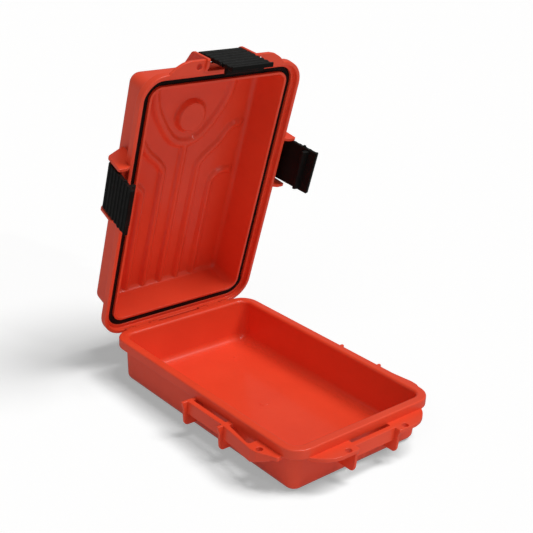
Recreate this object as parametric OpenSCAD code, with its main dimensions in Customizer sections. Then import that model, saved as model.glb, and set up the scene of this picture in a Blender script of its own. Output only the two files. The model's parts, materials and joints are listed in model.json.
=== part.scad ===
// Hard-plastic first aid kit box: a base tub and a hinged lid with a sealing ring,
// held shut by three snap latches. Millimetres, +Z up. The origin is the centre of
// the base's underside, +X is to the right and +Y is towards the hinge.
// The lid and the latches are drawn shut and then turned to their rest angles.

/* [Box] */
// Width of the sealing rim
rim_w = 144; // [130:1:160]
// Length of the sealing rim
rim_l = 228; // [210:1:250]
// Corner radius of the sealing rim
rim_r = 16; // [14:1:20]
// Height of the base
base_h = 39; // [37:1:46]
// Height of the lid above the sealing rim
lid_h = 34.5; // [28:0.5:40]
// Wall thickness of both shells
wall = 2.3; // [2:0.1:2.6]

/* [Flanges] */
// Width of the base's rim, from its outer face to the cavity
rim_land = 8; // [7.6:0.1:8.4]
// Height of the band around the base's rim
band_h = 8; // [7:0.5:10]
// How far the lid's skirt stands outside the base's rim
skirt_out = 5.2; // [5:0.1:5.6]
// How far the lid's skirt reaches down past the rim
skirt_drop = 3.4; // [3:0.1:3.6]

/* [Catches] */
// Distance from the middle of a catch to each of its fins on the base
fin_s = 21.65; // [21:0.05:22]
// Distance from the middle of a catch to each of its ears on the lid
ear_s = 22.6; // [22:0.05:23]
// Place of the side catches along the box
side_catch_y = -23.5; // [-30:0.5:-15]
// Top of the catch bars below the rim
bar_drop = 6.9; // [6.8:0.1:7.2]
// Eyelet radius
eyelet_r = 2.6; // [2:0.1:2.8]

/* [Pose] */
// Angle that the lid stands open at rest
lid_open = 75; // [0:1:150]
// Angle that the left latch stands open at rest
left_open = 8; // [0:1:120]
// Angle that the front latch stands open at rest
front_open = 8; // [0:1:120]
// Angle that the right latch stands open at rest
right_open = 15; // [0:1:120]

/* [Hidden] */
$fn = 64;
eps = 0.01;
shell_colour = "orangered";
latch_colour = "#1c1c1e";
rubber_colour = "#111111";
pin_colour = "silver";

// Shell shapes, as insets from the rim's outer face
tub_in_top = 6;
tub_in_bottom = 7.7;
cavity_in_bottom = rim_land + 2;
tub_fillet = 6;
cavity_fillet = 6.5;
lid_in_low = 6;
lid_in_top = 8;
lid_fillet = 9.5;
lid_cavity_in = rim_land + 2.2;
lid_cavity_fillet = 7;
fillet_steps = 5;
skirt_t = 3.1;
flange_top = base_h + 3;
hump_top = base_h + 7;
hump_in = 0.2;
land_z = base_h + 0.5;
plate_t = 2.8;
band_t = 2.4;

// Sealing ring and its groove, as insets from the rim's outer face
groove_in = 1;
groove_w = 4.8;
groove_top = base_h + 4;
seal_w = 4.6;
seal_t = 1.6;
seal_z = groove_top - 0.1 - seal_t / 2;

// Catch bars and fins, where d is the distance outwards from the rim's outer face
bar_z = base_h - bar_drop;
bar_d0 = 3.2;
bar_d1 = 7.6;
apron_t = 2.8;
apron_bottom = 21.2;
strip_t = 3.2;
fin_t = 2.4;
fin_foot = 11.8;
slot_half = 19.6;

// Wings beside the catches, with points as [along the edge, d]
front_eyelet = [29.1, 9.3];
base_wing_reach = 12.8;
base_wing_tip = [58.5, -1];
lid_wing_reach = 14.4;
lid_wing_tip = [56, 3.5];
lid_wing_t = 2.6;
side_eyelet = [-61.7, 6.6];
side_bend = [-57.3, 11.7];
side_shoulder = [-63, 11.1];
side_knee = [-68.1, 8.6];
side_tip = [-73.1, 5.8];
hang_t = 1.6;
hang_top = bar_z - 1;

// Ears and latches
ear_t = 2.6;
pivot_d = 9.5;
pivot_z = base_h + 10;
trunnion_r = 2;
trunnion_gap = 0.05;
ledge_d = 9.2;
ledge_t = 2.4;
latch_half = 19.6;
barrel_r = 3.4;
plate_in = 1.4;
plate_out = 4.2;
latch_end = -39.4;
lip_reach = -4.2;
lip_top = apron_bottom - pivot_z - 0.3;
lip_side_gap = 1.5;
nub_r = 1.3;
nub_d = 3;
nub_drop = -26;
nub_out = 1.2;
ridge_count = 7;
ridge_pitch = 5.2;
ridge_w = 2.2;
ridge_out = 0.8;

// Hinge
hinge_y = rim_l / 2 + 4.4;
hinge_z = base_h - 5.8;
knuckle_r = 3.7;
knuckle_clear = 4.3;
pin_r = 1.5;
hinge_x = 38;
lid_knuckle = 14;
base_knuckle = 9;
knuckle_gap = 0.4;
knuckle_arm_h = 5.4;
pin_gap = 0.05;

// Relief on the inside of the lid's top, sunk into the top by relief_root
relief = 1.3;
relief_root = 0.5;
rib_pitch = 17.5;
rib_w = 7;
rib_reach = [155, 137, 118];
disc_y = hinge_y - 180;
disc_r = 13;
disc_h = 4.5;
bow_r = 29;
bow_w = 7;

// ---- helpers ----

module rrect(w, l, r) {
    square([w - 2 * r, l], center = true);
    square([w, l - 2 * r], center = true);
    for (sx = [-1, 1], sy = [-1, 1]) {
        translate([sx * (w / 2 - r), sy * (l / 2 - r)]) circle(r);
    }
}

// The rim's outline, moved in by inset
module rim_outline(inset) {
    rrect(rim_w - 2 * inset, rim_l - 2 * inset, max(rim_r - inset, 3));
}

module ring_wall(inset0, inset1, z0, z1) {
    translate([0, 0, z0]) linear_extrude(z1 - z0) difference() {
        rim_outline(inset0);
        rim_outline(inset1);
    }
}

module slice(inset, z) {
    translate([0, 0, z]) linear_extrude(eps) rim_outline(inset, $fn = 32);
}

// A drafted block with a filleted end at z_end and a plain end at z_open
module drafted_block(in_open, z_open, in_end, z_end, fillet) {
    up = z_end > z_open ? 1 : -1;
    hull() {
        slice(in_open, z_open);
        for (i = [0:fillet_steps]) {
            a = 90 * i / fillet_steps;
            z = z_end - up * fillet * (1 - sin(a));
            slice(in_end + fillet * (1 - cos(a)), up > 0 ? z - eps : z);
        }
    }
}

// Frames of the three catches: local X runs along the edge and local Y outwards
module on_front() { translate([0, -rim_l / 2, 0]) rotate(180) children(); }
module on_left() { translate([-rim_w / 2, side_catch_y, 0]) rotate(90) children(); }
module on_right() { mirror([1, 0, 0]) on_left() children(); }

// An upright plate across local X, from an outline in distance outwards and height
module cross_plate(x, t) {
    translate([x + t / 2, 0, 0]) rotate([90, 0, -90]) linear_extrude(t) scale([-1, 1]) children();
}

module lid_pose() {
    translate([0, hinge_y, hinge_z]) rotate([-lid_open, 0, 0]) translate([0, -hinge_y, -hinge_z]) children();
}

// ---- base ----

module fin_outline() {
    polygon([[-8, fin_foot], [7, fin_foot], [8.9, fin_foot + 0.8], [10, fin_foot + 2.8],
        [10.6, 20], [10.8, 26], [12.4, 30.4], [12.4, bar_z], [-1, bar_z], [-8, 30]]);
}

module catch_bar() {
    // top strip, apron and the two bridges to the band
    translate([-fin_s, bar_d0, bar_z - strip_t]) cube([2 * fin_s, bar_d1 - bar_d0, strip_t]);
    translate([-fin_s, bar_d1 - apron_t, apron_bottom]) cube([2 * fin_s, apron_t, bar_z - apron_bottom - 1]);
    for (s = [-1, 1]) {
        cross_plate(s * fin_s, fin_t) fin_outline();
        translate([s * (slot_half + fin_s) / 2, (bar_d0 - 1) / 2, bar_z - strip_t / 2])
            cube([fin_s - slot_half, bar_d0 + 1 + eps, strip_t], center = true);
    }
}

// Flat wings beside the front fins, each with its eyelet
module front_wings(reach, tip, z, t) {
    root = fin_s - 0.8;
    for (s = [0, 1]) mirror([s, 0, 0]) translate([0, 0, z]) linear_extrude(t) difference() {
        polygon([[root, tip[1]], [root, reach - 0.6], [fin_s + 2, reach], [38, reach],
            [44, reach - 1.4], [49.5, reach - 4.4], [54, reach - 8.2], tip]);
        translate(front_eyelet) circle(eyelet_r);
    }
}

// Wing at the front end of a side catch: a slanted bar, an opening and an eyelet tab
module side_wing() {
    translate([0, 0, bar_z - strip_t]) linear_extrude(strip_t) difference() {
        polygon([[-fin_s, -1], [-fin_s, bar_d1], side_bend, side_shoulder, side_knee, side_tip,
            [-78.7, 4.1], [-77.4, 0.4], [-77.4, -1]]);
        polygon([[-24.4, -0.01], [-24.4, 3.9], [-51.9, 8.4], [-51.9, -0.01]]);
        translate(side_eyelet) circle(eyelet_r);
    }
    hanging_wall([-fin_s, bar_d1], side_bend, apron_bottom, apron_bottom);
    hanging_wall(side_bend, side_shoulder, apron_bottom, 23.5);
    hanging_wall(side_shoulder, side_knee, 23.5, 25.5);
    hanging_wall(side_knee, side_tip, 25.5, 27.5);
}

// Upright wall under two points of a wing's outer edge, with the height of its foot at each
module hanging_wall(p, q, foot_p, foot_q) {
    run = q - p;
    translate([p[0], p[1], 0]) rotate(atan2(run[1], run[0])) rotate([90, 0, 0])
        translate([0, 0, -hang_t]) linear_extrude(hang_t)
        polygon([[0, foot_p], [norm(run), foot_q], [norm(run), hang_top], [0, hang_top]]);
}

// A cylinder along the hinge's axis, centred on x
module hinge_rod(x, r, len) {
    translate([x, hinge_y, hinge_z]) rotate([0, 90, 0]) cylinder(r = r, h = len, center = true);
}

function base_knuckle_x() = [for (s = [-1, 1], e = [-1, 1])
    s * hinge_x + e * ((lid_knuckle + base_knuckle) / 2 + knuckle_gap)];

module base_knuckles() {
    arm_y = rim_l / 2 - 1;
    for (x = base_knuckle_x()) difference() {
        union() {
            hinge_rod(x, knuckle_r, base_knuckle);
            translate([x - base_knuckle / 2, arm_y, base_h - band_h])
                cube([base_knuckle, hinge_y - arm_y, knuckle_arm_h]);
        }
        hinge_rod(x, pin_r, base_knuckle + 2);
    }
}

module base_shell() color(shell_colour) {
    difference() {
        union() {
            drafted_block(tub_in_top, base_h - 1, tub_in_bottom, 0, tub_fillet);
            translate([0, 0, base_h - plate_t]) linear_extrude(plate_t) rim_outline(0);
            ring_wall(0, band_t, base_h - band_h, base_h - plate_t + eps);
            on_front() catch_bar();
            on_left() catch_bar();
            on_right() catch_bar();
            on_front() front_wings(base_wing_reach, base_wing_tip, bar_z - strip_t, strip_t);
            on_left() side_wing();
            on_right() side_wing();
        }
        drafted_block(rim_land, base_h + 1, cavity_in_bottom, wall, cavity_fillet);
    }
    base_knuckles();
}

// ---- lid ----

module ear_outline() {
    polygon([[-6.8, 64.4], [11.6, 55], [13.4, 53.2], [15.8, 34.6], [14.6, 33.6], [9, 33.6],
        [5, 35.6], [2.4, 37.4], [0, groove_top + 0.4], [-5, 45], [-6.8, 50]]);
}

module ears() {
    for (s = [-1, 1]) difference() {
        cross_plate(s * ear_s, ear_t) ear_outline();
        translate([s * (ear_s - ear_t / 2 - 1), pivot_d, pivot_z]) rotate([0, s * 90, 0])
            cylinder(r = trunnion_r + trunnion_gap, h = 2.5);
    }
}

// Ledge that carries the flange out under the latch's barrel, between two ears
module catch_ledge() {
    translate([-ear_s, skirt_out - 0.5, flange_top - ledge_t])
        cube([2 * ear_s, ledge_d - skirt_out + 0.5, ledge_t]);
}

module lid_catch() {
    ears();
    catch_ledge();
}

module relief_pattern() {
    floor_z = base_h + lid_h - wall;
    rib_end = rim_l / 2 - lid_cavity_in - 4;
    for (i = [-2:2]) {
        far = hinge_y - rib_reach[abs(i)];
        translate([i * rib_pitch - rib_w / 2, far, floor_z - relief])
            cube([rib_w, rib_end - far, relief + relief_root]);
    }
    translate([0, disc_y, floor_z - disc_h]) cylinder(r = disc_r, h = disc_h + relief_root);
    translate([0, disc_y, floor_z - relief]) linear_extrude(relief + relief_root) difference() {
        circle(bow_r);
        circle(bow_r - bow_w);
        translate([-bow_r - 1, 0]) square([2 * bow_r + 2, bow_r + 1]);
    }
}

module lid_knuckles() {
    arm_in = 2.2;
    for (s = [-1, 1]) difference() {
        union() {
            hinge_rod(s * hinge_x, knuckle_r, lid_knuckle);
            translate([s * hinge_x - lid_knuckle / 2, hinge_y - arm_in, hinge_z])
                cube([lid_knuckle, arm_in + 0.7, 4]);
        }
        hinge_rod(s * hinge_x, pin_r + pin_gap, lid_knuckle + 2);
    }
}

module lid_closed() {
    difference() {
        union() {
            drafted_block(lid_in_low, land_z + 1, lid_in_top, base_h + lid_h, lid_fillet);
            translate([0, 0, land_z]) linear_extrude(flange_top - land_z) rim_outline(-skirt_out);
            ring_wall(-skirt_out, -skirt_out + skirt_t, base_h - skirt_drop, land_z + eps);
            translate([0, 0, flange_top - eps]) linear_extrude(hump_top - flange_top) rim_outline(hump_in);
            on_front() front_wings(lid_wing_reach, lid_wing_tip, base_h - skirt_drop, lid_wing_t);
        }
        drafted_block(rim_land, base_h - 1, lid_cavity_in, base_h + lid_h - wall, lid_cavity_fillet);
        ring_wall(groove_in, groove_in + groove_w, base_h, groove_top);
        for (x = base_knuckle_x()) hinge_rod(x, knuckle_clear, base_knuckle + 2 * knuckle_gap);
    }
    on_front() lid_catch();
    on_left() lid_catch();
    on_right() lid_catch();
    relief_pattern();
    lid_knuckles();
}

module lid_shell() color(shell_colour) lid_pose() lid_closed();

// The sealing ring's flat section with round edges
module seal_section() {
    half = (seal_w - seal_t) / 2;
    square([2 * half, seal_t], center = true);
    for (s = [-1, 1]) translate([s * half, 0]) circle(seal_t / 2);
}

module seal_run(len) rotate([90, 0, 0]) linear_extrude(len, center = true) seal_section();

module sealing_ring() color(rubber_colour) lid_pose() {
    inset = groove_in + groove_w / 2;
    r = rim_r - inset;
    w = rim_w / 2 - inset;
    l = rim_l / 2 - inset;
    translate([0, 0, seal_z]) {
        for (s = [-1, 1]) {
            translate([s * w, 0, 0]) seal_run(2 * (l - r));
            translate([0, s * l, 0]) rotate(90) seal_run(2 * (w - r));
        }
        for (q = [0:3]) {
            sx = q == 0 || q == 3 ? 1 : -1;
            sy = q < 2 ? 1 : -1;
            translate([sx * (w - r), sy * (l - r), 0]) rotate(90 * q)
                rotate_extrude(angle = 90) translate([r, 0]) seal_section();
        }
    }
}

// ---- latches ----

// Latch profiles: distance outwards from the pivot, and height above it
module latch_outline() {
    circle(barrel_r);
    polygon([[0, 0], [0, 3.2], [2.6, 3.6], [plate_out, 2], [plate_out, latch_end + 2.6],
        [plate_out + 1.2, latch_end + 0.8], [plate_out + 0.6, latch_end], [plate_in, latch_end],
        [plate_in, -2]]);
    for (i = [0:ridge_count - 1]) {
        translate([plate_out - 0.5, -1.5 - i * ridge_pitch]) square([0.5 + ridge_out, ridge_w]);
    }
}

module lip_outline() {
    polygon([[plate_in + 1, lip_top], [lip_reach, lip_top], [lip_reach, lip_top - 1.8],
        [lip_reach + 1.4, lip_top - 2.8], [plate_in, lip_top - 4.2], [plate_in + 1, lip_top - 4.2]]);
}

// A rod along local X, centred on the latch
module cross_rod(r, len) {
    rotate([0, 90, 0]) cylinder(r = r, h = len, center = true);
}

// A latch in its catch's frame, turned open by the given angle
module latch(open) {
    translate([0, pivot_d, pivot_z]) rotate([open, 0, 0]) {
        cross_plate(0, 2 * latch_half) latch_outline();
        cross_plate(0, 2 * (latch_half - lip_side_gap)) lip_outline();
        cross_rod(trunnion_r, 2 * ear_s + 0.1);
        translate([0, nub_d, nub_drop]) cross_rod(nub_r, 2 * (latch_half + nub_out));
    }
}

module left_latch() color(latch_colour) lid_pose() on_left() latch(left_open);
module right_latch() color(latch_colour) lid_pose() on_right() latch(right_open);
module front_latch() color(latch_colour) lid_pose() on_front() latch(front_open);

module hinge_pin(s) color(pin_colour)
    hinge_rod(s * hinge_x, pin_r, lid_knuckle + 2 * base_knuckle + 2 * knuckle_gap);
module left_hinge_pin() hinge_pin(-1);
module right_hinge_pin() hinge_pin(1);

base_shell();
lid_shell();
sealing_ring();
left_latch();
right_latch();
front_latch();
left_hinge_pin();
right_hinge_pin();
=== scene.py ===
"""Looks of the open first aid box: moulded orange shells, black snap latches and a black sealing ring.

Shapes are worked out in millimetres with the lid and the latches shut, then turned to their rest
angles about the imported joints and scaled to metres. x runs to the right and y towards the hinge.
"""
import json
import math

import bmesh
import bpy
import numpy as np
from mathutils import Matrix, Vector


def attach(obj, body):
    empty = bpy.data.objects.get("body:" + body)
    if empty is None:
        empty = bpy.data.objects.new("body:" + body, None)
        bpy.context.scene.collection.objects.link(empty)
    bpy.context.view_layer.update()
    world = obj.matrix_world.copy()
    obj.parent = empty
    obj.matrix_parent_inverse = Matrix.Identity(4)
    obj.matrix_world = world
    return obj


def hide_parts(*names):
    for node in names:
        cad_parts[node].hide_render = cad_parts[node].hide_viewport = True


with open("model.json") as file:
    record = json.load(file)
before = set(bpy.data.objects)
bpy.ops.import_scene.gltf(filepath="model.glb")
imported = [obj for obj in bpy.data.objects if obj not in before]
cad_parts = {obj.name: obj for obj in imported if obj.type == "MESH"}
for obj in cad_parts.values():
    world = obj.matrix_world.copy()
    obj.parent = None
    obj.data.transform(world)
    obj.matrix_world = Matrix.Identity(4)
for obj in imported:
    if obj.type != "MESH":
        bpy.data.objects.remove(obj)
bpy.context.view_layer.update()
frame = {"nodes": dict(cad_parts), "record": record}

# ---------------------------------------------------------------- sizes, in millimetres
MM = 0.001
RIM_W, RIM_L, RIM_R = 144.0, 228.0, 16.0
RIM_Z = 39.0
MIN_R = 3.0

# How finely the rim's outline, the lid's level faces and the long stretches of a profile are divided
CORNER_STEPS, LONG_STEPS, SHORT_STEPS = 10, 120, 76
CEILING_STEP, TOP_STEP = 1.1, 1.9
LID_STRETCH, BASE_STRETCH = 3.0, 6.0

# Shells: heights, and where the lid's level faces start, as insets from the rim's outer face
TOP_Z, CEILING_Z = 73.5, 71.2
FLOOR_Z = 2.3
TOP_IN, CEILING_IN = 17.7, 19.6

# Marks on the base's floor: x, y and radius
FLOOR_MARKS = ((0, 0, 4.0), (31.5, 77.5, 1.6))
MARK_H, MARK_EDGE = 0.3, 0.2

# Catches: distances from the middle of a catch, and outwards (d) from the rim's outer face
FIN_X, FIN_T = 21.65, 2.4
EAR_X, EAR_T = 22.6, 2.6
SLOT_X = 19.6
STRIP_Z, STRIP_T = 30.5, 3.2
STRIP_D0, STRIP_D1 = 3.2, 7.6
APRON_Z0, APRON_T = 21.2, 2.8
SIDE_CATCH_Y = -23.5
EYELET_R = 2.6
FRONT_EYELET_X, FRONT_EYELET_D = 29.1, 9.3
SIDE_EYELET_X, SIDE_EYELET_D = -61.7, 6.6
WALL_T, WALL_TOP, WALL_EDGE = 1.6, 31.1, 0.5
LID_WING_T, LID_WING_Z = 2.6, 36.9
EDGE = 0.45

# Latches, measured from their pivot
PIVOT_D, PIVOT_Z = 9.5, 49.0
LATCH_X = 19.6
BARREL_R = 3.4
LATCH_IN, LATCH_OUT, LATCH_END = 1.4, 4.2, -39.4
LIP_TOP, LIP_X = -28.1, 18.1
TRUNNION_R, TRUNNION_X = 2.0, EAR_X + 0.05
NUB_D, NUB_Z, NUB_R, NUB_X = 3.0, -26.0, 1.3, LATCH_X + 1.2

# Hinge
KNUCKLE_R, KNUCKLE_CLEAR, PIN_R = 3.7, 4.0, 1.5
HINGE_X = 38.0
LID_KNUCKLE, BASE_KNUCKLE, KNUCKLE_GAP = 14.0, 9.0, 0.4
BORE_PAST = 2.0

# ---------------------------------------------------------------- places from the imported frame
joints = {joint["name"]: joint for joint in frame["record"]["behaviour"]["joints"]}


def opened(joint_name):
    """How far a joint stands open at rest, in radians: its shut end lies that far below rest."""
    return math.radians(-joints[joint_name]["range_deg"][0])


HINGE_Y, HINGE_Z = (value / MM for value in joints["lid_hinge"]["pos_m"][1:])
hinge_point = Vector((0, HINGE_Y, HINGE_Z))
LID_POSE = (Matrix.Translation(hinge_point) @ Matrix.Rotation(-opened("lid_hinge"), 4, "X")
            @ Matrix.Translation(-hinge_point))
ON_FRONT = Matrix.Translation((0, -RIM_L / 2, 0)) @ Matrix.Rotation(math.pi, 4, "Z")
ON_LEFT = Matrix.Translation((-RIM_W / 2, SIDE_CATCH_Y, 0)) @ Matrix.Rotation(math.pi / 2, 4, "Z")
ON_RIGHT = Matrix.Scale(-1, 4, (1, 0, 0)) @ ON_LEFT
CATCHES = {"front": ON_FRONT, "left": ON_LEFT, "right": ON_RIGHT}
ACROSS = Matrix(((0, 0, 1, 0), (1, 0, 0, 0), (0, 1, 0, 0), (0, 0, 0, 1)))


# ---------------------------------------------------------------- outlines
# A bend below STRAIGHT radians gets no arc, and an arc takes at most MOST_OF_SIDE of a side
STRAIGHT = 0.02
MOST_OF_SIDE = 0.49


def rounded(corners, closed=True, turn=math.radians(14)):
    """The outline through corners (a, b, radius), with an arc at each corner that has a radius."""
    outline = []
    for index, (a, b, radius) in enumerate(corners):
        here = np.array((a, b), float)
        at_end = not closed and index in (0, len(corners) - 1)
        if radius == 0 or at_end:
            outline.append(here)
            continue
        before = np.array(corners[index - 1][:2], float) - here
        after = np.array(corners[(index + 1) % len(corners)][:2], float) - here
        lengths = np.linalg.norm(before), np.linalg.norm(after)
        u, w = before / lengths[0], after / lengths[1]
        bend = math.pi - math.acos(np.clip(u @ w, -1, 1))
        if bend < STRAIGHT:
            outline.append(here)
            continue
        reach = min(radius * math.tan(bend / 2), MOST_OF_SIDE * min(lengths))
        centre = here + (u + w) / np.linalg.norm(u + w) * reach / math.sin(bend / 2)
        start, end = here + u * reach - centre, here + w * reach - centre
        steps = max(2, math.ceil(bend / turn))
        for t in np.linspace(0, 1, steps + 1):
            blend = math.sin((1 - t) * bend) * start + math.sin(t * bend) * end
            outline.append(centre + blend / math.sin(bend))
    return np.array(outline)


def circle(a, b, radius, steps=36):
    angles = np.arange(steps) * 2 * math.pi / steps
    return np.stack((a + radius * np.cos(angles), b + radius * np.sin(angles)), 1)


def mirrored(corners):
    """The corners, then the same corners mirrored in a, in the reverse order."""
    return list(corners) + [(-a, b, radius) for a, b, radius in reversed(corners)]


def rim_ring(inset):
    """Points of the rim's outline moved in by inset; every inset has the same number of points."""
    half_w, half_l = RIM_W / 2 - inset, RIM_L / 2 - inset
    radius = min(max(RIM_R - inset, MIN_R), half_w)
    points = []
    for quarter, (sx, sy) in enumerate(((1, 1), (-1, 1), (-1, -1), (1, -1))):
        centre = np.array((sx * (half_w - radius), sy * (half_l - radius)))
        angles = math.pi / 2 * (quarter + np.linspace(0, 1, CORNER_STEPS + 1))
        arc = centre + radius * np.stack((np.cos(angles), np.sin(angles)), 1)
        points.extend(arc)
        far = centre * (-1, 1) if quarter % 2 == 0 else centre * (1, -1)
        offset = arc[-1] - centre
        steps = SHORT_STEPS if quarter % 2 == 0 else LONG_STEPS
        ends = arc[-1], far + offset
        points.extend(ends[0] + (ends[1] - ends[0]) * t for t in np.arange(1, steps) / steps)
    return np.array(points)


# ---------------------------------------------------------------- meshes
def new_object(name, mesh):
    obj = bpy.data.objects.new(name, mesh)
    bpy.context.scene.collection.objects.link(obj)
    return obj


def mesh_from(name, vertices, faces, weld=1e-4):
    """An object whose coincident points are merged and whose faces point outwards."""
    mesh = bpy.data.meshes.new(name)
    mesh.from_pydata([tuple(v) for v in vertices], [], [tuple(f) for f in faces])
    bm = bmesh.new()
    bm.from_mesh(mesh)
    bmesh.ops.remove_doubles(bm, verts=bm.verts, dist=weld)
    bmesh.ops.recalc_face_normals(bm, faces=bm.faces)
    bm.to_mesh(mesh)
    bm.free()
    return new_object(name, mesh)


def sweep(name, profile, ring=False, shape=None):
    """The shell that a profile (inset, z) makes round the rim. A ring's profile is a closed loop."""
    rings = np.array([np.insert(rim_ring(inset), 2, z, axis=1) for inset, z in profile])
    if shape:
        rings = shape(rings)
    count, around = rings.shape[:2]
    faces = []
    for i in range(count if ring else count - 1):
        for j in range(around):
            a, b = i * around, (i + 1) % count * around
            k = (j + 1) % around
            faces.append((a + j, a + k, b + k, b + j))
    return mesh_from(name, rings.reshape(-1, 3), faces)


def plate(outline, thickness, place=Matrix.Identity(4), holes=(), edge=EDGE):
    """A plate with rounded edges, centred on its thickness, from an outline in its own plane."""
    curve = bpy.data.curves.new("outline", "CURVE")
    curve.dimensions = "2D"
    curve.fill_mode = "BOTH"
    curve.extrude = thickness / 2 - edge
    curve.bevel_depth = edge
    curve.bevel_resolution = 2
    curve.offset = -edge
    for loop in (outline, *holes):
        spline = curve.splines.new("POLY")
        spline.points.add(len(loop) - 1)
        for point, (a, b) in zip(spline.points, loop):
            point.co = (a, b, 0, 1)
        spline.use_cyclic_u = True
    source = new_object("outline", curve)
    mesh = bpy.data.meshes.new_from_object(source.evaluated_get(bpy.context.evaluated_depsgraph_get()))
    bpy.data.objects.remove(source)
    bm = bmesh.new()
    bm.from_mesh(mesh)
    bmesh.ops.remove_doubles(bm, verts=bm.verts, dist=1e-3)
    bmesh.ops.transform(bm, matrix=place, verts=bm.verts)
    bmesh.ops.recalc_face_normals(bm, faces=bm.faces)
    bm.to_mesh(mesh)
    bm.free()
    return new_object("plate", mesh)


def cross_plate(outline, thickness, x=0.0, frame_matrix=Matrix.Identity(4), edge=EDGE):
    """A plate across local x, from an outline in distance outwards and height."""
    return plate(outline, thickness, frame_matrix @ Matrix.Translation((x, 0, 0)) @ ACROSS, edge=edge)


def flat_plate(outline, thickness, z, frame_matrix, holes=()):
    """A level plate centred on z, from an outline along the edge and outwards."""
    return plate(outline, thickness, frame_matrix @ Matrix.Translation((0, 0, z)), holes)


def combine(body, parts, operation):
    """Joins the parts to the body, or cuts them out of it, as one closed solid."""
    for part in parts:
        modifier = body.modifiers.new("combine", "BOOLEAN")
        modifier.solver = "MANIFOLD"
        modifier.operation = operation
        modifier.object = part
    depsgraph = bpy.context.evaluated_depsgraph_get()
    mesh = bpy.data.meshes.new_from_object(body.evaluated_get(depsgraph))
    body.modifiers.clear()
    body.data = mesh
    for part in parts:
        bpy.data.objects.remove(part)


def finish_piece(obj, pose, body, node, material):
    """Turns a piece to its rest place in metres, smooths it and hangs it on its body."""
    obj.data.transform(Matrix.Scale(MM, 4) @ pose)
    if pose.determinant() < 0:
        obj.data.flip_normals()
    obj.data.materials.clear()
    obj.data.materials.append(material)
    obj.data.polygons.foreach_set("use_smooth", [True] * len(obj.data.polygons))
    obj.data.set_sharp_from_angle(angle=math.radians(38))
    weighted = obj.modifiers.new("weighted normals", "WEIGHTED_NORMAL")
    weighted.keep_sharp = True
    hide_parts(node)
    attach(obj, body)
    return obj


# ---------------------------------------------------------------- materials
def new_material(name, colour, roughness, **sockets):
    material = bpy.data.materials.new(name)
    material.use_nodes = True
    shader = material.node_tree.nodes["Principled BSDF"]
    shader.inputs["Base Color"].default_value = (*colour, 1)
    shader.inputs["Roughness"].default_value = roughness
    for socket, value in sockets.items():
        shader.inputs[socket.replace("_", " ")].default_value = value
    return material


def add_node(material, kind, **sockets):
    node = material.node_tree.nodes.new(kind)
    for socket, value in sockets.items():
        node.inputs[socket.replace("_", " ")].default_value = value
    return node


def noise(material, scale, detail=3.0):
    """Noise in the object's own coordinates, with scale in features per metre."""
    place = add_node(material, "ShaderNodeTexCoord")
    texture = add_node(material, "ShaderNodeTexNoise", Scale=scale, Detail=detail)
    material.node_tree.links.new(place.outputs["Object"], texture.inputs["Vector"])
    return texture.outputs["Fac"]


def spread(material, value, low, high):
    """The noise value mapped onto low to high."""
    node = add_node(material, "ShaderNodeMapRange", From_Min=0.3, From_Max=0.7, To_Min=low, To_Max=high)
    material.node_tree.links.new(value, node.inputs["Value"])
    return node.outputs["Result"]


def tint(material, value, dark, light):
    """Base colour that drifts between two close shades."""
    mix = material.node_tree.nodes.new("ShaderNodeMix")
    mix.data_type = "RGBA"
    mix.inputs["A"].default_value = (*dark, 1)
    mix.inputs["B"].default_value = (*light, 1)
    material.node_tree.links.new(spread(material, value, 0.0, 1.0), mix.inputs["Factor"])
    shader = material.node_tree.nodes["Principled BSDF"]
    material.node_tree.links.new(mix.outputs["Result"], shader.inputs["Base Color"])


def vary_roughness(material, value, low, high):
    shader = material.node_tree.nodes["Principled BSDF"]
    material.node_tree.links.new(spread(material, value, low, high), shader.inputs["Roughness"])


def grain(material, scale, depth, strength):
    """Fine moulded grain: scale in grains per metre and depth in metres."""
    bump = add_node(material, "ShaderNodeBump", Strength=strength, Distance=depth)
    material.node_tree.links.new(noise(material, scale, 2.0), bump.inputs["Height"])
    shader = material.node_tree.nodes["Principled BSDF"]
    material.node_tree.links.new(bump.outputs["Normal"], shader.inputs["Normal"])


def shell_plastic():
    material = new_material("shell_plastic", (0.86, 0.074, 0.024), 0.38, Specular_IOR_Level=0.3,
                            Coat_Weight=0.35, Coat_Roughness=0.13)
    tint(material, noise(material, 26), (0.84, 0.066, 0.024), (0.88, 0.074, 0.027))
    vary_roughness(material, noise(material, 180), 0.34, 0.43)
    grain(material, 2600, 0.00006, 0.25)
    return material


def latch_plastic():
    material = new_material("latch_plastic", (0.004, 0.004, 0.004), 0.5, Specular_IOR_Level=0.2)
    tint(material, noise(material, 60), (0.003, 0.003, 0.0025), (0.006, 0.006, 0.005))
    vary_roughness(material, noise(material, 400), 0.42, 0.58)
    grain(material, 3400, 0.00012, 0.5)
    return material


def seal_rubber():
    material = new_material("seal_rubber", (0.004, 0.004, 0.0035), 0.55, Specular_IOR_Level=0.2)
    tint(material, noise(material, 120), (0.003, 0.003, 0.0025), (0.006, 0.006, 0.005))
    vary_roughness(material, noise(material, 300), 0.48, 0.66)
    grain(material, 1800, 0.00008, 0.3)
    return material


def pin_steel():
    material = new_material("pin_steel", (0.55, 0.55, 0.56), 0.3, Metallic=1.0)
    vary_roughness(material, noise(material, 2500), 0.22, 0.4)
    tint(material, noise(material, 900), (0.48, 0.48, 0.49), (0.6, 0.6, 0.61))
    grain(material, 5000, 0.00003, 0.3)
    return material


# ---------------------------------------------------------------- relief in the lid's top
RIB_H, BOW_H, DISC_H = 2.6, 2.6, 4.6
RIB_X = 17.5
RIB_START = 13.0
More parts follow.
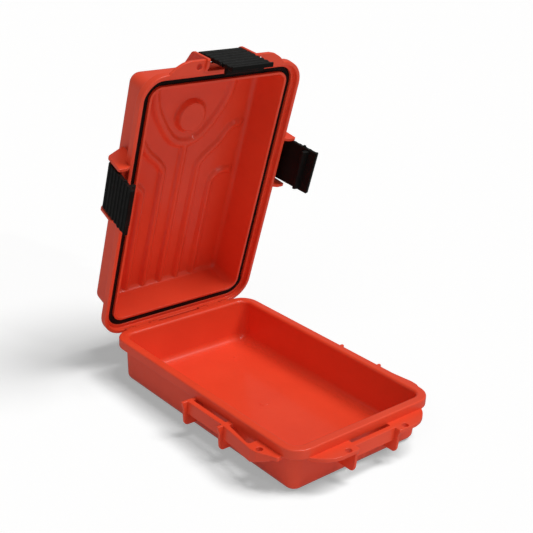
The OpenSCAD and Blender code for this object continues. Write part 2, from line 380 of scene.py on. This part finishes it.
# Centre lines in x and distance from the hinge axis, with the radius of each bend
INNER_SHOULDER = [(RIB_X, RIB_START, 0), (RIB_X, 131.5, 8), (24, 140, 12), (33, 147.5, 14), (38, 153, 14),
                  (43.5, 161.5, 7), (48.5, 165.2, 6), (55, 165.8, 0)]
OUTER_SHOULDER = [(35, RIB_START, 0), (35, 112.5, 7), (39.5, 118.3, 9), (46.5, 121, 9), (54, 120.5, 0)]
CENTRE_RIB = [(0, RIB_START, 0), (0, 153, 0)]
BOW = [(0, 154.9, 0), (8, 156.0, 12), (15, 160.4, 22), (22.4, 169.1, 30), (29.9, 180.7, 40),
       (36.2, 192.4, 30), (38.3, 206, 30), (38.6, 230, 0)]
DISC_V, DISC_TOP_R, DISC_FOOT_R = 180.0, 12.2, 15.2
RELIEF_REACH = 8.0
RIB_TOP, RIB_FOOT = 1.2, 4.2
BOW_TOP, BOW_FOOT = 1.5, 5.0
# The grooves outside: their share of the relief's height, and the deepest
OUTSIDE_SHARE, OUTSIDE_MAX = 0.5, 1.6


def distance_to(path, a, b):
    """Distance of the points (a, b) from an open path."""
    nearest = np.full(a.shape, 1e9)
    for start, end in zip(path[:-1], path[1:]):
        run = end - start
        t = np.clip(((a - start[0]) * run[0] + (b - start[1]) * run[1]) / (run @ run), 0, 1)
        nearest = np.minimum(nearest, np.hypot(a - start[0] - t * run[0], b - start[1] - t * run[1]))
    return nearest


def ridge(distance, top, foot):
    """1 within top, 0 beyond foot, and a smooth flank between them."""
    t = np.clip((foot - distance) / (foot - top), 0, 1)
    return t * t * (3 - 2 * t)


def relief_height(x, y):
    """Height of the relief above the inside of the lid's top."""
    a, b = np.abs(x), HINGE_Y - y
    height = np.zeros(a.shape)
    for corners in (CENTRE_RIB, INNER_SHOULDER, OUTER_SHOULDER):
        distance = distance_to(rounded(corners, closed=False), a, b)
        height = np.maximum(height, RIB_H * ridge(distance, RIB_TOP, RIB_FOOT))
    distance = distance_to(rounded(BOW, closed=False), a, b)
    height = np.maximum(height, BOW_H * ridge(distance, BOW_TOP, BOW_FOOT))
    disc = DISC_H * ridge(np.hypot(a, b - DISC_V), DISC_TOP_R, DISC_FOOT_R)
    return np.maximum(height, disc)


def with_relief(rings):
    """Raises the relief inside the lid's top, with shallow grooves to match on the outside."""
    x, y, z = rings[..., 0], rings[..., 1], rings[..., 2]
    height = relief_height(x, y)
    inside = np.arange(len(rings))[:, None] > len(rings) / 2
    deep = z > CEILING_Z - RELIEF_REACH
    z = np.where(inside & deep, np.minimum(z, CEILING_Z - height), z)
    groove = np.minimum(height * OUTSIDE_SHARE, OUTSIDE_MAX)
    rings[..., 2] = np.where(~inside & deep, np.minimum(z, TOP_Z - groove), z)
    return rings


# ---------------------------------------------------------------- shells
def level_steps(inset, z, step):
    """Even steps across a level face at height z, from an inset to the middle."""
    insets = np.linspace(inset, RIM_W / 2, round((RIM_W / 2 - inset) / step))
    return np.stack((insets, np.full(len(insets), z)), 1)


def fine(profile, longest):
    """The profile with its long stretches divided."""
    points = [profile[0]]
    for start, end in zip(profile[:-1], profile[1:]):
        pieces = max(1, math.ceil(np.linalg.norm(end - start) / longest))
        points.extend(start + (end - start) * k / pieces for k in range(1, pieces + 1))
    return np.array(points)


def lid_profile():
    corners = [(TOP_IN, TOP_Z, 0), (8, TOP_Z, 9.5), (6.45, 46, 1), (0.2, 46, 1), (0.2, 42, 0.6),
               (-5.2, 42, 1), (-5.2, 35.6, 0.7), (-2.1, 35.6, 0.7), (-2.1, 39.5, 0.4), (1, 39.5, 0.35),
               (1, 43, 0.3), (5.8, 43, 0.3), (5.8, 39.5, 0.35), (8, 39.5, 0.6), (10.2, CEILING_Z, 9),
               (CEILING_IN, CEILING_Z, 0)]
    middle = fine(rounded(corners, closed=False, turn=math.radians(12)), LID_STRETCH)
    top = level_steps(TOP_IN, TOP_Z, TOP_STEP)[::-1]
    return np.concatenate((top[:-1], middle, level_steps(CEILING_IN, CEILING_Z, CEILING_STEP)[1:]))


def base_profile():
    middle = RIM_W / 2
    corners = [(middle, 0, 0), (7.7, 0, 6), (6.05, 36.2, 1), (2.4, 36.2, 0.6), (2.4, 31, 0.6), (0, 31, 0.8),
               (0, RIM_Z, 1.3), (8, RIM_Z, 2.6), (10, FLOOR_Z, 6.5), (middle, FLOOR_Z, 0)]
    return fine(rounded(corners, closed=False, turn=math.radians(9)), BASE_STRETCH)


# ---------------------------------------------------------------- catches on the base
FIN = [(-8, 11.8, 0), (7, 11.8, 1.5), (8.9, 12.6, 1.5), (10, 14.6, 2), (10.6, 20, 4), (10.8, 26, 4),
       (12.4, 30.4, 1.5), (12.4, 32.1, 0.6), (-1, 32.1, 0), (-8, 30, 0)]


def front_plate():
    """Strip, wings and bridges of the front catch, in one level plate with two eyelets."""
    half = [(20.85, STRIP_D1, 0.8), (20.85, 12.2, 0.4), (23.65, 12.8, 1.5), (38, 12.8, 8), (44, 11.4, 8),
            (49.5, 8.4, 8), (54, 4.6, 6), (58.5, -1, 0), (SLOT_X, -1, 0), (SLOT_X, STRIP_D0, 0.6)]
    holes = [circle(side * FRONT_EYELET_X, FRONT_EYELET_D, EYELET_R) for side in (-1, 1)]
    return flat_plate(rounded(mirrored(half)), STRIP_T, STRIP_Z, ON_FRONT, holes)


WING_EDGE = [(-FIN_X, STRIP_D1, 0), (-57.3, 11.7, 6), (-63, 11.1, 5), (-68.1, 8.6, 6), (-73.1, 5.8, 5)]


def side_plate(place):
    """Strip of a side catch with its wing, the opening beside the fin and the eyelet."""
    corners = [(FIN_X, -1, 0), (FIN_X, STRIP_D1, 0.6), *WING_EDGE, (-78.7, 4.1, 2), (-77.4, 0.4, 1),
               (-77.4, -1, 0), (-SLOT_X, -1, 0), (-SLOT_X, STRIP_D0, 0.6), (SLOT_X, STRIP_D0, 0.6),
               (SLOT_X, -1, 0)]
    opening = [(-24.4, 0, 0.8), (-24.4, 3.9, 1), (-51.9, 8.4, 2), (-51.9, 0, 0.8)]
    holes = [rounded(opening), circle(SIDE_EYELET_X, SIDE_EYELET_D, EYELET_R)]
    return flat_plate(rounded(corners), STRIP_T, STRIP_Z, place, holes)


# Height of the hanging wall's foot at distances from the middle of the catch
WALL_FEET = ((0, APRON_Z0), (57.3, APRON_Z0), (63, 23.5), (68.1, 25.5), (73.1, 27.5))


def hanging_wall(place):
    """Thin wall under a side wing's outer edge; its foot rises towards the front."""
    outer = rounded(WING_EDGE, closed=False, turn=math.radians(6))
    run = np.gradient(outer, axis=0)
    normal = np.stack((-run[:, 1], run[:, 0]), 1)
    normal /= np.linalg.norm(normal, axis=1)[:, None]
    inner = outer + normal * WALL_T
    feet = np.interp(-outer[:, 0], *zip(*WALL_FEET))
    vertices = []
    for face, back, foot in zip(outer, inner, feet):
        bevel = (back - face) / 4
        vertices += [(*face, WALL_TOP), (*face, foot + WALL_EDGE), (*(face + bevel), foot),
                     (*(back - bevel), foot), (*back, foot + WALL_EDGE), (*back, WALL_TOP)]
    count = len(vertices) // len(outer)
    faces = [tuple(range(count)), tuple(range(len(vertices) - count, len(vertices)))[::-1]]
    for i in range(len(outer) - 1):
        for j in range(count):
            a, b = i * count, (i + 1) * count
            k = (j + 1) % count
            faces.append((a + j, b + j, b + k, a + k))
    wall = mesh_from("wall", vertices, faces)
    wall.data.transform(place)
    if place.determinant() < 0:
        wall.data.flip_normals()
    return wall


def base_catch(place):
    """Two fins and the apron under the strip that the latch's lip hooks."""
    inner, outer = STRIP_D1 - APRON_T, STRIP_D1 - 0.05
    apron = [(inner, APRON_Z0, 0.8), (outer, APRON_Z0, 0.8), (outer, STRIP_Z, 0), (inner, STRIP_Z, 0)]
    fins = [cross_plate(rounded(FIN), FIN_T, side * FIN_X, place) for side in (-1, 1)]
    return fins + [cross_plate(rounded(apron), 2 * FIN_X, 0, place)]


def knuckle(x, length, arm):
    """A hinge knuckle with its arm, in y and z from the hinge axis."""
    place = Matrix.Translation((x, HINGE_Y, HINGE_Z)) @ ACROSS
    return [plate(circle(0, 0, KNUCKLE_R), length, place), plate(rounded(arm), length, place)]


def base_knuckle_places():
    """The x of the base's knuckles, one on each side of each lid knuckle."""
    reach = (LID_KNUCKLE + BASE_KNUCKLE) / 2 + KNUCKLE_GAP
    return [side * HINGE_X + end * reach for side in (-1, 1) for end in (-1, 1)]


def base_knuckles():
    arm = [(-5.6, -2.3, 0.5), (0, -3.2, 0.5), (0, 3.2, 0.5), (-5.6, 3.2, 0.5)]
    return [part for x in base_knuckle_places() for part in knuckle(x, BASE_KNUCKLE, arm)]


def hinge_cutter(x, radius, length):
    """A rod on the hinge's axis, to cut a bore or a notch."""
    place = Matrix.Translation((x, HINGE_Y, HINGE_Z)) @ ACROSS
    return plate(circle(0, 0, radius), length, place, edge=0.1)


def floor_marks():
    """Faint round marks that the mould leaves on the floor: its gate in the middle and one pin."""
    place = Matrix.Translation((0, 0, FLOOR_Z))
    return [plate(circle(x, y, radius), 2 * MARK_H, place, edge=MARK_EDGE) for x, y, radius in FLOOR_MARKS]


def base_shell(material):
    shell = sweep("base_shell_moulding", base_profile())
    parts = [front_plate(), *base_knuckles(), *floor_marks()]
    for place in CATCHES.values():
        parts += base_catch(place)
    for place in (ON_LEFT, ON_RIGHT):
        parts += [side_plate(place), hanging_wall(place)]
    combine(shell, parts, "UNION")
    bores = [hinge_cutter(x, PIN_R + 0.01, BASE_KNUCKLE + BORE_PAST) for x in base_knuckle_places()]
    combine(shell, bores, "DIFFERENCE")
    return finish_piece(shell, Matrix.Identity(4), "base", "base_shell", material)


# ---------------------------------------------------------------- lid
EAR = [(-6.8, 64.4, 1), (11.6, 55, 3), (13.4, 53.2, 3), (15.8, 34.6, 0.4), (14.6, 33.6, 0.4), (9, 33.6, 1.2),
       (5, 35.6, 2), (2.4, 37.4, 0), (0, 43.4, 0), (-5, 45, 0), (-6.8, 50, 0)]


def ear_plates(place):
    return [cross_plate(rounded(EAR), EAR_T, side * EAR_X, place) for side in (-1, 1)]


def catch_ledge(place):
    """Ledge that carries the flange out under the latch's barrel, between the ears."""
    ledge = [(4.7, 39.6, 0), (9.2, 39.6, 0.5), (9.2, 42, 0.6), (4.7, 42, 0)]
    return cross_plate(rounded(ledge), 2 * EAR_X, 0, place)


def lid_wing(side):
    corners = [(20.85, 3.5, 0), (20.85, 13.8, 0.3), (23.65, 14.4, 1.5), (38, 14.4, 8), (44, 13, 8),
               (49.5, 10, 8), (54, 6.2, 3), (56, 3.5, 0)]
    place = ON_FRONT @ Matrix.Scale(side, 4, (1, 0, 0))
    hole = circle(FRONT_EYELET_X, FRONT_EYELET_D, EYELET_R)
    return flat_plate(rounded(corners), LID_WING_T, LID_WING_Z, place, [hole])


def lid_knuckles():
    arm = [(-2.2, 0, 0), (-2.2, 4.3, 0.5), (0.7, 4.3, 0.5), (3.2, 0, 0)]
    return [part for side in (-1, 1) for part in knuckle(side * HINGE_X, LID_KNUCKLE, arm)]


def lid_shell(material):
    shell = sweep("lid_shell_moulding", lid_profile(), shape=with_relief)
    notches = [hinge_cutter(x, KNUCKLE_CLEAR, BASE_KNUCKLE + 2 * KNUCKLE_GAP)
               for x in base_knuckle_places()]
    combine(shell, notches, "DIFFERENCE")
    parts = [lid_wing(side) for side in (-1, 1)] + lid_knuckles()
    for place in CATCHES.values():
        parts += [*ear_plates(place), catch_ledge(place)]
    combine(shell, parts, "UNION")
    bores = [hinge_cutter(side * HINGE_X, PIN_R + 0.05, LID_KNUCKLE + BORE_PAST) for side in (-1, 1)]
    combine(shell, bores, "DIFFERENCE")
    return finish_piece(shell, LID_POSE, "lid", "lid_shell", material)


# ---------------------------------------------------------------- sealing ring
SEAL_SECTION = [(1.05, 42.9, 0.3), (1.05, 41.55, 0.7), (3.4, 41.1, 4), (5.75, 41.55, 0.7), (5.75, 42.9, 0.3)]
# The seal's open face lies below SEAL_FACE
SEAL_FACE = 42.0
SEAM_Y, SEAM_STEP, SEAM_FADE, SEAM_RISE = 99.4, 0.8, 12.0, 1.4


def with_seam(rings):
    """Lifts the ring's open face along the hinge, in one step where its two ends meet on the right."""
    length = np.where(rings[..., 0] > 0, SEAM_STEP, SEAM_FADE)
    lift = SEAM_RISE * np.clip((rings[..., 1] - SEAM_Y) / length, 0, 1)
    rings[..., 2] -= np.where(rings[..., 2] < SEAL_FACE, lift, 0)
    return rings


def sealing_ring(material):
    ring = sweep("sealing_ring_rubber", rounded(SEAL_SECTION), ring=True, shape=with_seam)
    return finish_piece(ring, LID_POSE, "lid", "sealing_ring", material)


# ---------------------------------------------------------------- latches
RIDGE_COUNT, RIDGE_PITCH, RIDGE_W, RIDGE_H = 7, 5.2, 2.6, 0.5
FIRST_RIDGE = 0.7
BARREL_TURN, BARREL_STEPS = (-66, -262), 14


def latch_outline():
    """A latch's profile: barrel, plate with its grip ridges, and the thick end."""
    corners = [(0, 3.4, 0), (2.6, 3.6, 1.5), (LATCH_OUT, 2, 1)]
    for i in range(RIDGE_COUNT):
        top = FIRST_RIDGE - i * RIDGE_PITCH
        out = LATCH_OUT + RIDGE_H
        corners += [(LATCH_OUT, top + 0.35, 0.6), (out, top - 0.25, 0.5), (out, top - RIDGE_W + 0.25, 0.5),
                    (LATCH_OUT, top - RIDGE_W - 0.35, 0.6)]
    corners += [(LATCH_OUT, LATCH_END + 2.6, 1), (LATCH_OUT + 1.2, LATCH_END + 0.8, 0.7),
                (LATCH_OUT + 0.6, LATCH_END, 0.5), (LATCH_IN, LATCH_END, 0.6)]
    angles = np.radians(np.linspace(*BARREL_TURN, BARREL_STEPS))
    corners += [(BARREL_R * math.cos(a), BARREL_R * math.sin(a), 0) for a in angles]
    return rounded(corners)


LIP = [(2.4, LIP_TOP, 0), (-4.2, LIP_TOP, 0.5), (-4.2, LIP_TOP - 1.8, 0.5), (-2.8, LIP_TOP - 2.8, 0.8),
       (1.4, LIP_TOP - 4.2, 0.8), (2.4, LIP_TOP - 4.2, 0)]


def latch(side, material):
    name = f"{side}_latch"
    body = cross_plate(latch_outline(), 2 * LATCH_X)
    body.name = f"{name}_moulding"
    parts = [cross_plate(rounded(LIP), 2 * LIP_X), cross_plate(circle(0, 0, TRUNNION_R), 2 * TRUNNION_X),
             cross_plate(circle(NUB_D, NUB_Z, NUB_R), 2 * NUB_X)]
    combine(body, parts, "UNION")
    turn = Matrix.Rotation(opened(f"{name}_pivot"), 4, "X")
    pose = LID_POSE @ CATCHES[side] @ Matrix.Translation((0, PIVOT_D, PIVOT_Z)) @ turn
    return finish_piece(body, pose, name, name, material)


# ---------------------------------------------------------------- studio
# The camera's place in metres, its turns in degrees (from +y towards +x, downwards, and about its own
# axis) and its lens in millimetres
CAMERA_PLACE = (-0.4889, -0.5471, 0.4210)
HEADING, PITCH, ROLL = 41.48, 22.18, -2.93
SENSOR, LENS = 36.0, 69.87

# Lights: name, direction round the box from the front, elevation, strength and width, in degrees
LIGHTS = (("key", 38, 60, 1.52, 25), ("overhead", 10, 76, 0.58, 12), ("fill", -62, 48, 0.26, 40),
          ("glint", 10, 28, 0.12, 1.5))
WORLD_STRENGTH, FLOOR_GLOW = 0.19, 0.17
SHEET_REACH, FLOOR_LEVEL, BOUNCE_LEVEL = 80.0, -0.0004, -0.0002


def camera():
    """The camera, standing to the front left of the box and a little above it."""
    turn = Matrix.Rotation(-math.radians(HEADING), 3, "Z") @ Matrix.Rotation(math.radians(90 - PITCH), 3, "X")
    turn = turn @ Matrix.Rotation(-math.radians(ROLL), 3, "Z")
    obj = new_object("camera", bpy.data.cameras.new("camera"))
    obj.matrix_world = Matrix.Translation(CAMERA_PLACE) @ turn.to_4x4()
    obj.data.sensor_width = SENSOR
    obj.data.lens = LENS
    bpy.context.scene.camera = obj


def sun(name, azimuth, elevation, strength, spread_deg):
    """A distant soft light, which stands at azimuth round the box, 0 being in front of it."""
    light = bpy.data.lights.new(name, "SUN")
    light.energy = strength
    light.angle = math.radians(spread_deg)
    a, e = math.radians(azimuth), math.radians(elevation)
    towards = Vector((math.sin(a) * math.cos(e), -math.cos(a) * math.cos(e), math.sin(e)))
    obj = new_object(name, light)
    obj.rotation_euler = towards.to_track_quat("Z", "Y").to_euler()


def level_sheet(name, z, material):
    """A large level sheet just under the box, which isn't part of the object."""
    mesh = bpy.data.meshes.new(name)
    corners = [(x * SHEET_REACH, y * SHEET_REACH, z) for x, y in ((-1, -1), (1, -1), (1, 1), (-1, 1))]
    mesh.from_pydata(corners, [], [(0, 1, 2, 3)])
    mesh.materials.append(material)
    sheet = new_object(name, mesh)
    return sheet


def studio():
    """Soft lights, a pale floor that the camera sees, and a sheet that only throws light back up."""
    scene = bpy.context.scene
    scene.view_settings.view_transform = "Standard"
    world = bpy.data.worlds.new("studio")
    world.use_nodes = True
    world.node_tree.nodes["Background"].inputs["Color"].default_value = (1, 1, 1, 1)
    world.node_tree.nodes["Background"].inputs["Strength"].default_value = WORLD_STRENGTH
    scene.world = world
    for light in LIGHTS:
        sun(*light)
    pale = new_material("pale_floor", (1, 1, 1), 0.8, Emission_Color=(1, 1, 1, 1),
                        Emission_Strength=FLOOR_GLOW, Specular_IOR_Level=0.0)
    floor = level_sheet("floor", FLOOR_LEVEL, pale)
    floor.visible_diffuse = False
    floor.visible_glossy = False
    bounce = level_sheet("bounce_floor", BOUNCE_LEVEL, new_material("bounce_floor", (0.95, 0.94, 0.93), 0.8))
    bounce.visible_camera = False
    bounce.visible_glossy = False
    bounce.visible_shadow = False


camera()
studio()
orange = shell_plastic()
black = latch_plastic()
base_shell(orange)
lid_shell(orange)
sealing_ring(seal_rubber())
for catch in CATCHES:
    latch(catch, black)
steel = pin_steel()
for side in ("left", "right"):
    node = frame["nodes"][f"{side}_hinge_pin"]
    node.data.materials.clear()
    node.data.materials.append(steel)
